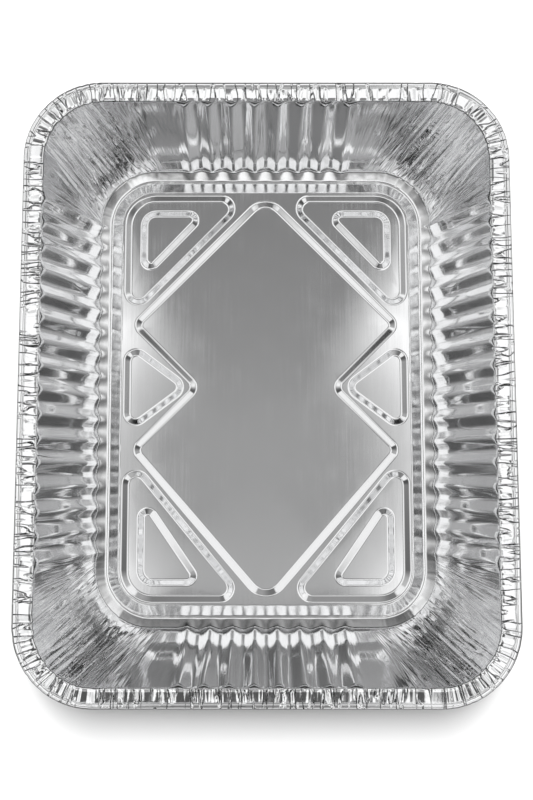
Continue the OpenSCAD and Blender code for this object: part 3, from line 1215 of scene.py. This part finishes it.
@dataclass(frozen=True)
class FoilFinish:
    """Bright rolled aluminium foil: a fine rolling grain, and soft dents where it is gathered."""

    colour: Colour = (0.9, 0.903, 0.909)
    smoothest: float = 0.05
    roughest: float = 0.13
    duller_by: float = 0.08
    grain: Mottle = Mottle(900.0, 3.0)
    grain_stretch: float = 0.03
    grain_height: float = 0.10
    grain_depth: float = 0.00002
    blotches: Mottle = Mottle(55.0, 4.0)
    sheen_range: Span = (0.12, 0.42)
    dents: Mottle = Mottle(260.0, 2.0, 0.6)
    dent_height: float = 0.5
    dent_depth: float = 0.0003
    flange_dents: float = 0.3
    broad: Mottle = Mottle(190.0, 0.5)
    broad_height: float = 1.0
    crease: Mottle = Mottle(1.0, 1.2, 0.2)
    crease_pitch: float = 3.1
    crease_run: float = 1.6
    crease_power: float = 0.6
    crease_height: float = 2.1
    groove: Mottle = Mottle(1.0, 1.0, 0.5)
    groove_pitch: float = 4.4
    groove_share: float = 0.042
    groove_height: float = 1.9

    def material(self) -> bpy.types.Material:
        """Return the foil's material."""
        made = bpy.data.materials.new("foil")
        nodes = Nodes.of(made)
        place = nodes.add("TexCoord", {}, "Object")
        along = nodes.add("Mapping", {"Vector": place, "Scale": (1.0, self.grain_stretch, 1.0)}, "Vector")
        grain = nodes.noise(along, self.grain)
        nodes.finish("Principled BSDF", {
            "Base Color": (*self.colour, 1.0),
            "Metallic": 1.0,
            "Roughness": self._roughness(nodes, place, grain),
            "Normal": self._normal(nodes, place, grain),
        })
        return made

    def _roughness(self, nodes: Nodes, place: Signal, grain: Signal) -> Signal:
        """Make the sheen, which varies in blotches and is duller on the step inside the foot.

        Args:
            nodes: The material's nodes.
            place: The place on the foil.
            grain: The rolling grain.

        Returns:
            The roughness.
        """
        low, high = self.sheen_range
        rough = nodes.add("MapRange", {
            "Value": grain * nodes.noise(place, self.blotches), "From Min": low, "From Max": high,
            "To Min": self.smoothest, "To Max": self.roughest}, "Result")
        return rough + nodes.attribute("dull") * self.duller_by

    def _normal(self, nodes: Nodes, place: Signal, grain: Signal) -> Signal:
        """Make the dents of the wall, the base and the flange, and the grain on top of them.

        Args:
            nodes: The material's nodes.
            place: The place on the foil.
            grain: The rolling grain.

        Returns:
            The normal.
        """
        climb = nodes.attribute("climb")
        creases, grooves = self._creases(nodes, climb)
        soft = nodes.noise(place, self.dents) * self.dent_height
        broad = nodes.noise(place, self.broad) * self.broad_height
        base, flange = nodes.maths("LESS_THAN", climb, 0.0), nodes.maths("GREATER_THAN", climb, 1.0)
        wall = 1.0 - (base + flange)
        height = (wall * (creases + soft)
                  + (base * broad + flange * (grooves + soft * self.flange_dents)))
        dented = nodes.add("Bump", {"Strength": 1.0, "Distance": self.dent_depth,
                                    "Height": height * nodes.attribute("crinkle")}, "Normal")
        return nodes.add("Bump", {"Strength": self.grain_height, "Distance": self.grain_depth,
                                  "Height": grain, "Normal": dented}, "Normal")

    def _creases(self, nodes: Nodes, climb: Signal) -> tuple[Signal, Signal]:
        """Make the sharp creases up the wall and the grooves across the flange.

        Args:
            nodes: The material's nodes.
            climb: How far up the wall and out over the flange a place is.

        Returns:
            The heights of the creases and of the grooves.
        """
        where = nodes.add("CombineXYZ", {
            "X": nodes.attribute("round_x") / self.crease_pitch,
            "Y": nodes.attribute("round_y") / self.crease_pitch,
            "Z": climb * self.crease_run}, "Vector")
        wide = nodes.add("VectorMath", {0: where, "Scale": self.crease_pitch / self.groove_pitch}, "Vector",
                         operation="SCALE")
        apart = abs(nodes.noise(where, self.crease) - 0.5) * 2.0
        groove = abs(nodes.noise(wide, self.groove) - 0.5) / self.groove_share
        return (nodes.maths("POWER", apart, self.crease_power) * self.crease_height,
                nodes.maths("MINIMUM", groove, 1.0) * self.groove_height)


@dataclass
class RoastingPan:
    """The whole pan, as one piece of foil."""

    sizes: PanSizes = field(default_factory=PanSizes)
    finish: FoilFinish = field(default_factory=FoilFinish)
    node: str = "roasting_pan"
    base_below: float = 3.0

    def build(self) -> bpy.types.Object:
        """Build the pan and dress it.

        Returns:
            The finished piece, riding on the pan's body.
        """
        piece = finished("foil_pan", self._sheet())
        piece.data.polygons.foreach_set("use_smooth", [True] * len(piece.data.polygons))
        piece.data.materials.append(self.finish.material())
        thick = piece.modifiers.new("thickness", "SOLIDIFY")
        thick.thickness = self.sizes.foil * MM
        thick.offset = -1.0
        weighted = piece.modifiers.new("flat_faces", "WEIGHTED_NORMAL")
        weighted.keep_sharp = True
        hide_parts(self.node)
        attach(piece, "root")
        return piece

    def _sheet(self) -> Mesh:
        """Return the foil as one sheet in metres, its upper side facing outwards."""
        bm = bmesh.new()
        wall = FoilWall(bm, self.sizes, Walk(self.sizes), Gathers(), Crimps())
        inner = wall.start()
        PressedBase(bm, self.sizes).build(wall.edges_of(inner))
        wall.build(inner)
        bmesh.ops.recalc_face_normals(bm, faces=list(bm.faces))
        base = [face for face in bm.faces if face.calc_center_median().z < self.base_below]
        if sum(face.normal.z * face.calc_area() for face in base) < 0:
            bmesh.ops.reverse_faces(bm, faces=list(bm.faces))
        bmesh.ops.scale(bm, vec=(MM, MM, MM), verts=list(bm.verts))
        return bm


@dataclass(frozen=True)
class Sky:
    """How bright the studio is in one direction, by the angle from straight above in degrees."""

    marks: tuple[Span, ...]

    def ramp(self, nodes: Nodes, angle: Signal) -> Signal:
        """Read the brightness from a colour ramp.

        Args:
            nodes: The world's nodes.
            angle: The angle from straight above, as a share of 90 degrees.

        Returns:
            The brightness.
        """
        bright = nodes.add("ValToRGB", {"Fac": angle}, "Color")
        elements = bright.socket.node.color_ramp.elements
        elements.remove(elements[1])
        for i, (mark, value) in enumerate(self.marks):
            element = elements.new(mark / QUARTER) if i else elements[0]
            element.position = mark / QUARTER
            element.color = grey(value)
        return bright


@dataclass(frozen=True)
class Studio:
    """Plain pale floor, soft lights and the camera at the photograph's angle, in metres and degrees."""

    floor_size: float = 6.0
    floor_drop: float = 0.0002
    floor_seen: float = 0.82
    floor_reflected: float = 0.36
    floor_rough: float = 0.9
    floor_gloss: float = 0.1
    camera_at: tuple[float, float, float] = (-0.00480, -0.04376, 0.540)
    camera_tilt: float = 5.678
    camera_clip: float = 0.01
    focal_px: float = 903.8
    centre_px: Span = (257.7, 378.2)
    image_px: tuple[int, int] = (533, 800)
    sensor_mm: float = 36.0
    key_at: tuple[float, float, float] = (0.0, 0.46, 1.55)
    key_size: Span = (0.3, 0.55)
    key_watts: float = 28.0
    sides: Sky = Sky(((0, 0.31), (6, 0.3), (9.5, 0.56), (12, 1.0), (21, 1.0), (25, 0.8), (31, 0.6),
                      (36, 0.85), (41, 1.0), (44, 0.85), (48, 0.6), (51, 0.46), (54, 0.33),
                      (57, 0.35), (59.5, 1.0), (63, 0.5), (67, 0.2), (75, 0.03), (90, 0.02)))
    far: Sky = Sky(((0, 0.31), (10, 0.24), (17.5, 0.2), (19, 0.13), (20.5, 0.5), (23, 1.0), (32, 0.95),
                    (36, 0.5), (41, 0.4), (46, 0.16), (52, 0.36), (58, 0.29), (63, 0.03), (90, 0.02)))
    near: Sky = Sky(((0, 0.31), (8, 0.38), (11, 0.2), (14, 0.08), (22, 0.08), (27, 0.9), (35, 1.0),
                     (41, 0.95), (45, 0.2), (51, 0.25), (59, 0.46), (63, 0.04), (90, 0.02)))
    low: Span = (30.0, 46.0)
    side_blend: Span = (0.2, 0.5)
    side_shade: float = 0.22
    end_blend: float = 0.12
    end_shade: float = 0.5
    hand_blend: float = 0.3
    glow_from: Span = (44.0, 50.0)
    glow_to: Span = (63.0, 58.0)
    glow_slant: Span = (0.41, 0.47)
    glow_level: float = 0.84
    sky_strength: float = 1.15
    backdrop: float = 0.9

    def build(self) -> None:
        """Set the floor, the world, the light and the camera."""
        self._floor()
        self._world()
        self._key()
        self._camera()
        bpy.context.scene.view_settings.view_transform = "Standard"

    def _floor(self) -> None:
        """Make the pale floor, which the foil reflects less brightly than the camera sees it."""
        bm = bmesh.new()
        bmesh.ops.create_grid(bm, x_segments=1, y_segments=1, size=self.floor_size / 2)
        bmesh.ops.translate(bm, vec=(0, 0, -self.floor_drop), verts=list(bm.verts))
        floor = finished("floor", bm)
        made = bpy.data.materials.new("floor_white")
        nodes = Nodes.of(made)
        nodes.finish("Principled BSDF", {
            "Base Color": nodes.mix(nodes.camera_ray(), grey(self.floor_reflected), grey(self.floor_seen)),
            "Roughness": self.floor_rough,
            "Specular IOR Level": self.floor_gloss,
        })
        floor.data.materials.append(made)

    def _world(self) -> None:
        """Make the studio's walls and ceiling, which the camera sees as a plain pale backdrop."""
        world = bpy.data.worlds.new("studio")
        bpy.context.scene.world = world
        nodes = Nodes.of(world)
        nodes.finish("Background", {
            "Color": nodes.mix(nodes.camera_ray(), self._brightness(nodes), grey(self.backdrop)),
            "Strength": self.sky_strength,
        })

    def _brightness(self, nodes: Nodes) -> Signal:
        """Work out how bright the studio is to the sides, the far end, the near end and between.

        Args:
            nodes: The world's nodes.

        Returns:
            The brightness in each direction.
        """
        way = nodes.add("TexCoord", {}, "Generated")
        x, y, z = (nodes.add("SeparateXYZ", {"Vector": way}, name) for name in "XYZ")
        angle = nodes.maths("ARCCOSINE", z) / (math.pi / 2)
        sides, far, near = (sky.ramp(nodes, angle) for sky in (self.sides, self.far, self.near))
        across = x * x
        level = across + (y * y + TINY)
        out = nodes.maths("SQRT", level)
        to_side = nodes.eased(across / level, *self.side_blend)
        ends = nodes.mix(nodes.eased(y, -self.end_blend, self.end_blend), near, far)
        low = nodes.eased(angle, *(mark / QUARTER for mark in self.low))
        on_side = self._shaded(nodes.eased(y / out, -self.hand_blend, self.hand_blend), low, self.side_shade)
        on_end = self._shaded(nodes.eased(x / out, -self.hand_blend, self.hand_blend), low, self.end_shade)
        weight = on_side * to_side + on_end * (1.0 - to_side)
        slanted = nodes.eased(abs(x * y) / level, *self.glow_slant)
        start, stop = (nodes.eased(angle, *(mark / QUARTER for mark in marks))
                       for marks in (self.glow_from, self.glow_to))
        glow = slanted * (start * stop) * self.glow_level
        return nodes.maths("MAXIMUM", nodes.mix(to_side, ends, sides) * weight, glow)

    @staticmethod
    def _shaded(turned: Signal, low: Signal, shade: float) -> Signal:
        """Work out how much light is left low down, where the studio is darker on one hand.

        Args:
            turned: 0 on the darker hand to 1 on the lighter one.
            low: 0 overhead to 1 low down.
            shade: The light left on the darker hand.

        Returns:
            The factor for the light, which is 1 overhead.
        """
        return 1.0 - (1.0 - turned) * (1.0 - shade) * low

    def _key(self) -> None:
        """Hang the soft light behind the far end that throws the shadow before the near rim."""
        lamp = bpy.data.lights.new("key", "AREA")
        lamp.shape = "RECTANGLE"
        lamp.size, lamp.size_y = self.key_size
        lamp.energy = self.key_watts
        holder = put_in_scene("key", lamp)
        holder.location = self.key_at
        holder.rotation_euler = (-Vector(self.key_at)).to_track_quat("-Z", "Y").to_euler()
        holder.visible_glossy = False

    def _camera(self) -> None:
        """Set the camera where the photograph was taken from."""
        lens = bpy.data.cameras.new("camera")
        longest = max(self.image_px)
        lens.sensor_width = self.sensor_mm
        lens.lens = self.focal_px / longest * self.sensor_mm
        lens.shift_x = (self.image_px[0] / 2 - self.centre_px[0]) / longest
        lens.shift_y = -(self.image_px[1] / 2 - self.centre_px[1]) / longest
        lens.clip_start = self.camera_clip
        camera = put_in_scene("camera", lens)
        camera.location = self.camera_at
        camera.rotation_euler = (math.radians(self.camera_tilt), 0.0, 0.0)
        bpy.context.scene.camera = camera


def main() -> None:
    """Build the studio and the pan."""
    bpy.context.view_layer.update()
    Studio().build()
    piece = RoastingPan().build()
    log.info("%s: %d faces before its thickness", piece.name, len(piece.data.polygons))


if __name__ == "__main__":
    main()
